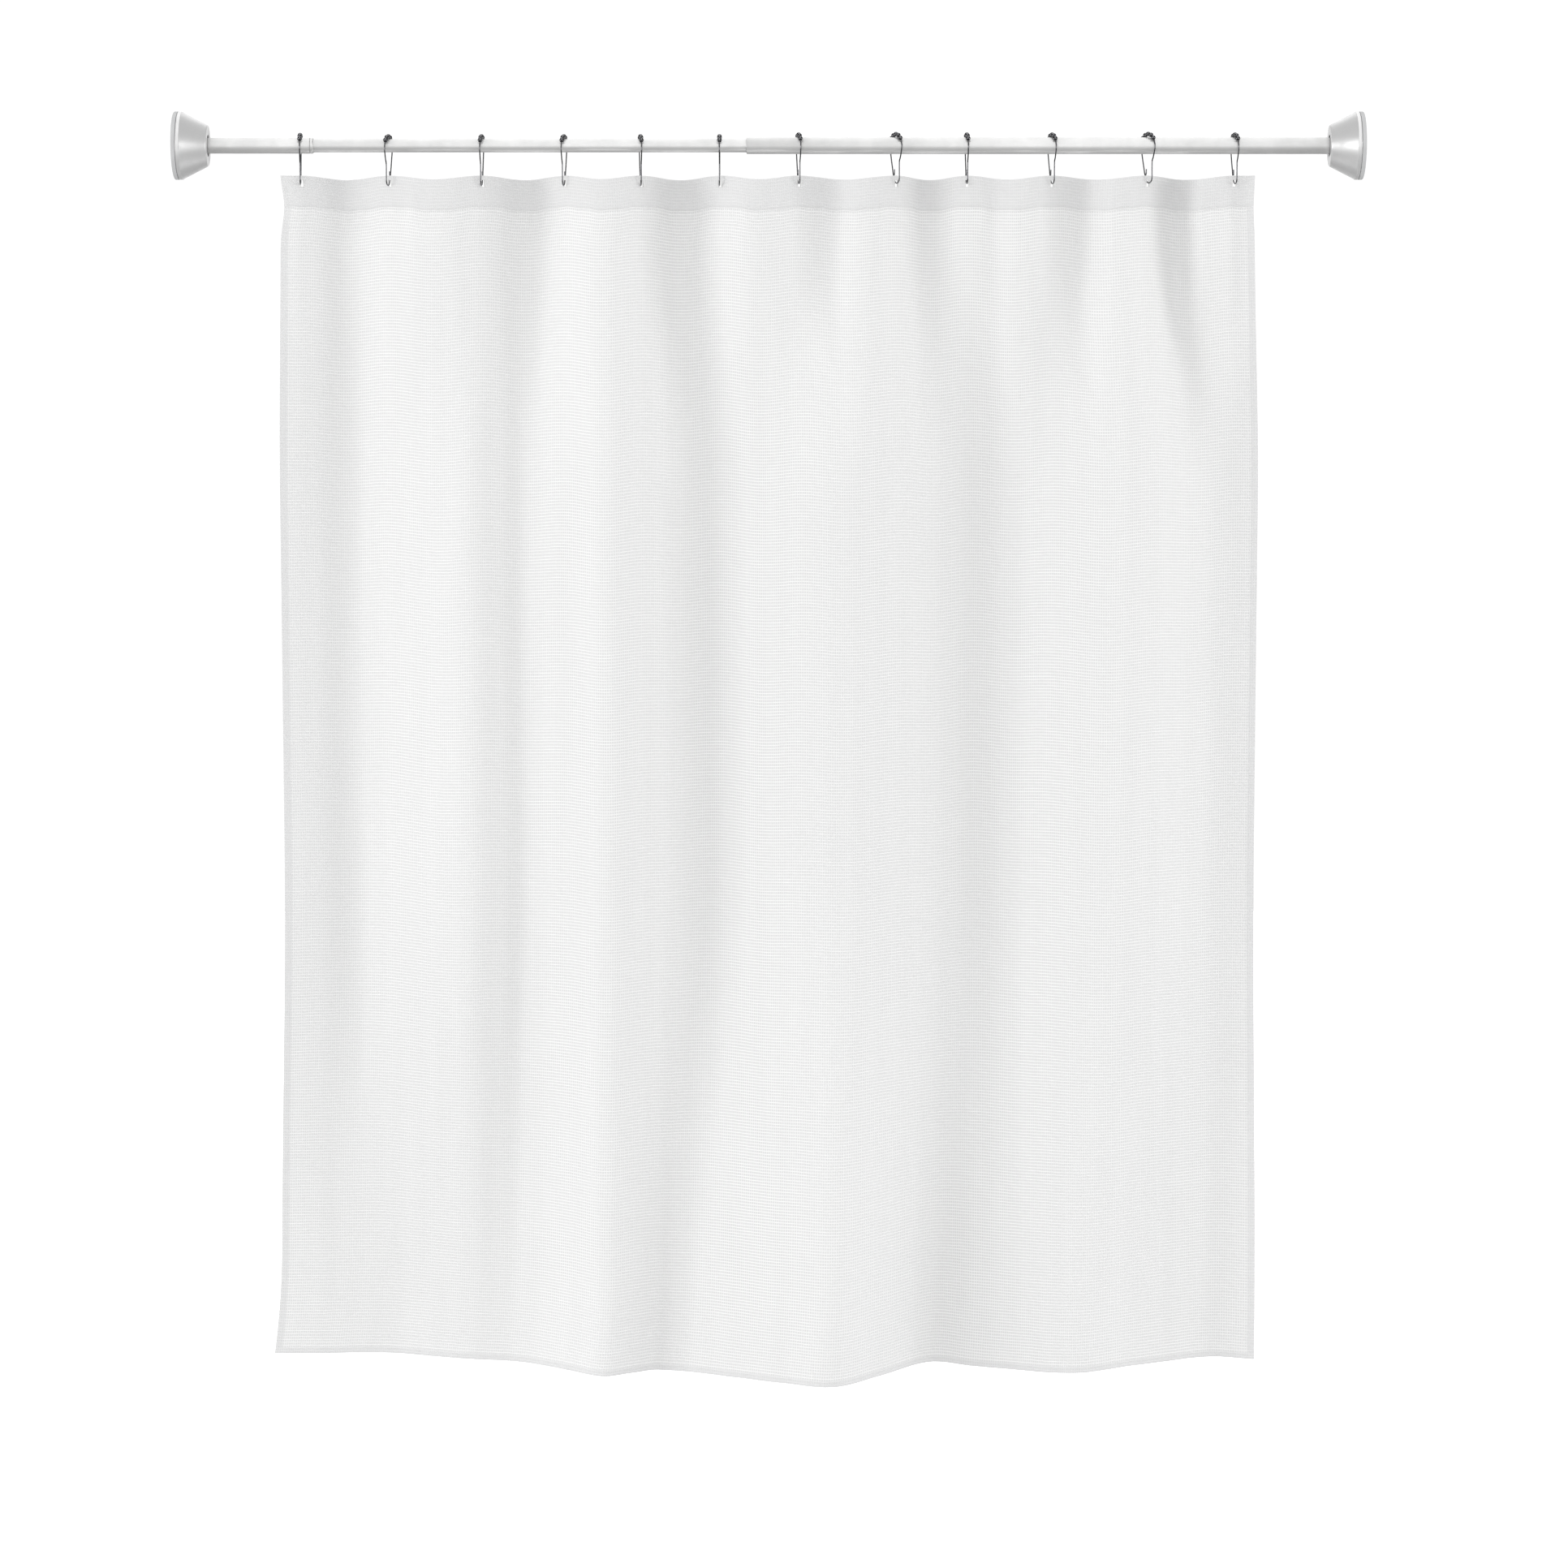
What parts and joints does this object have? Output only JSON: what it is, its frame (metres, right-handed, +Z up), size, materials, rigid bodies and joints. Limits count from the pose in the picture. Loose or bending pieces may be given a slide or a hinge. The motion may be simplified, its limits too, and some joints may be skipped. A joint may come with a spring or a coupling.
{
  "type": "shower curtain",
  "caption": "Waffle-weave cloth shower curtain on roller-ball hooks, hung from a telescoping spring tension rod with round wall flanges.",
  "frame": {"origin": "centre of the left wall pad's outer face, on the rod axis", "axes": "+X along the rod to the right wall, -Y towards the bathroom side, +Z up"},
  "size_m": [1.806, 0.2021, 1.9486],
  "materials": {
    "cloth": "white waffle-weave cloth, double at the header",
    "satin_tube": "satin, fine drawn grain along the tube",
    "flange_cover": "light grey satin moulding",
    "black_plastic": "black moulding",
    "wall_pad": "grey non-slip pad",
    "chrome_wire": "polished",
    "chrome_roller": "polished",
    "spring_steel": "drawn wire"
  },
  "bodies": {
    "left_end": {"left_wall_pad": "wall_pad", "left_flange_cover": "flange_cover", "left_flange_socket": "black_plastic", "spring_sleeve": "satin_tube", "sleeve_collar": "satin_tube", "spring_stop": "black_plastic", "tension_spring": "spring_steel"},
    "inner_tube": {"spring_seat": "black_plastic", "inner_tube": "satin_tube", "lock_plug": "black_plastic"},
    "outer_tube": {"outer_tube": "satin_tube", "tube_mouth_guide": "black_plastic"},
    "right_end": {"right_flange_socket": "black_plastic", "right_flange_cover": "flange_cover", "right_wall_pad": "wall_pad"},
    "curtain": {"curtain_panel": "cloth"},
    "hook_01": {"hook_wire_01": "chrome_wire", "hook_rollers_01": "chrome_roller"},
    "hook_02": {"hook_wire_02": "chrome_wire", "hook_rollers_02": "chrome_roller"},
    "hook_03": {"hook_wire_03": "chrome_wire", "hook_rollers_03": "chrome_roller"},
    "hook_04": {"hook_wire_04": "chrome_wire", "hook_rollers_04": "chrome_roller"},
    "hook_05": {"hook_wire_05": "chrome_wire", "hook_rollers_05": "chrome_roller"},
    "hook_06": {"hook_wire_06": "chrome_wire", "hook_rollers_06": "chrome_roller"},
    "hook_07": {"hook_wire_07": "chrome_wire", "hook_rollers_07": "chrome_roller"},
    "hook_08": {"hook_wire_08": "chrome_wire", "hook_rollers_08": "chrome_roller"},
    "hook_09": {"hook_wire_09": "chrome_wire", "hook_rollers_09": "chrome_roller"},
    "hook_10": {"hook_wire_10": "chrome_wire", "hook_rollers_10": "chrome_roller"},
    "hook_11": {"hook_wire_11": "chrome_wire", "hook_rollers_11": "chrome_roller"},
    "hook_12": {"hook_wire_12": "chrome_wire", "hook_rollers_12": "chrome_roller"}
  },
  "joints": [
    {"name": "spring_compression", "type": "slide", "parent": "left_end", "child": "inner_tube", "axis": [1, 0, 0], "range_m": [-0.018, 0], "stiffness_N_per_m": 2500, "springref_m": 0.03, "deforming": ["tension_spring"]},
    {"name": "rod_telescope", "type": "slide", "parent": "inner_tube", "child": "right_end", "axis": [1, 0, 0], "range_m": [-0.015, 0.06]},
    {"name": "twist_lock", "type": "hinge", "parent": "right_end", "child": "outer_tube", "pos_m": [1, 0, 0], "axis": [1, 0, 0], "range_deg": [-90, 90]},
    {"name": "curtain_swing", "type": "hinge", "parent": "left_end", "child": "curtain", "pos_m": [0.9, 0, 0], "axis": [1, 0, 0], "range_deg": [-18, 18]},
    {"name": "hook_roll_01", "type": "slide", "parent": "curtain", "child": "hook_01", "axis": [1, 0, 0], "range_m": [-0.00806, 0]},
    {"name": "hook_roll_02", "type": "slide", "parent": "curtain", "child": "hook_02", "axis": [1, 0, 0], "range_m": [-0.10185, 0]},
    {"name": "hook_roll_03", "type": "slide", "parent": "curtain", "child": "hook_03", "axis": [1, 0, 0], "range_m": [-0.20104, 0]},
    {"name": "hook_roll_04", "type": "slide", "parent": "curtain", "child": "hook_04", "axis": [1, 0, 0], "range_m": [-0.28861, 0]},
    {"name": "hook_roll_05", "type": "slide", "parent": "curtain", "child": "hook_05", "axis": [1, 0, 0], "range_m": [-0.37015, 0]},
    {"name": "hook_roll_06", "type": "slide", "parent": "curtain", "child": "hook_06", "axis": [1, 0, 0], "range_m": [-0.45422, 0]},
    {"name": "hook_roll_07", "type": "slide", "parent": "curtain", "child": "hook_07", "axis": [1, 0, 0], "range_m": [-0.53835, 0]},
    {"name": "hook_roll_08", "type": "slide", "parent": "curtain", "child": "hook_08", "axis": [1, 0, 0], "range_m": [-0.64188, 0]},
    {"name": "hook_roll_09", "type": "slide", "parent": "curtain", "child": "hook_09", "axis": [1, 0, 0], "range_m": [-0.71733, 0]},
    {"name": "hook_roll_10", "type": "slide", "parent": "curtain", "child": "hook_10", "axis": [1, 0, 0], "range_m": [-0.80798, 0]},
    {"name": "hook_roll_11", "type": "slide", "parent": "curtain", "child": "hook_11", "axis": [1, 0, 0], "range_m": [-0.91017, 0]},
    {"name": "curtain_draw", "type": "slide", "parent": "curtain", "child": "hook_12", "axis": [1, 0, 0], "range_m": [-1.002, 0], "deforming": ["curtain_panel"]}
  ],
  "couplings": [
    {"joint": "hook_roll_01", "follows": "curtain_draw", "ratio": 0.00754},
    {"joint": "hook_roll_02", "follows": "curtain_draw", "ratio": 0.10115},
    {"joint": "hook_roll_03", "follows": "curtain_draw", "ratio": 0.20014},
    {"joint": "hook_roll_04", "follows": "curtain_draw", "ratio": 0.28753},
    {"joint": "hook_roll_05", "follows": "curtain_draw", "ratio": 0.36891},
    {"joint": "hook_roll_06", "follows": "curtain_draw", "ratio": 0.45281},
    {"joint": "hook_roll_07", "follows": "curtain_draw", "ratio": 0.53678},
    {"joint": "hook_roll_08", "follows": "curtain_draw", "ratio": 0.6401},
    {"joint": "hook_roll_09", "follows": "curtain_draw", "ratio": 0.7154},
    {"joint": "hook_roll_10", "follows": "curtain_draw", "ratio": 0.80587},
    {"joint": "hook_roll_11", "follows": "curtain_draw", "ratio": 0.90786}
  ]
}
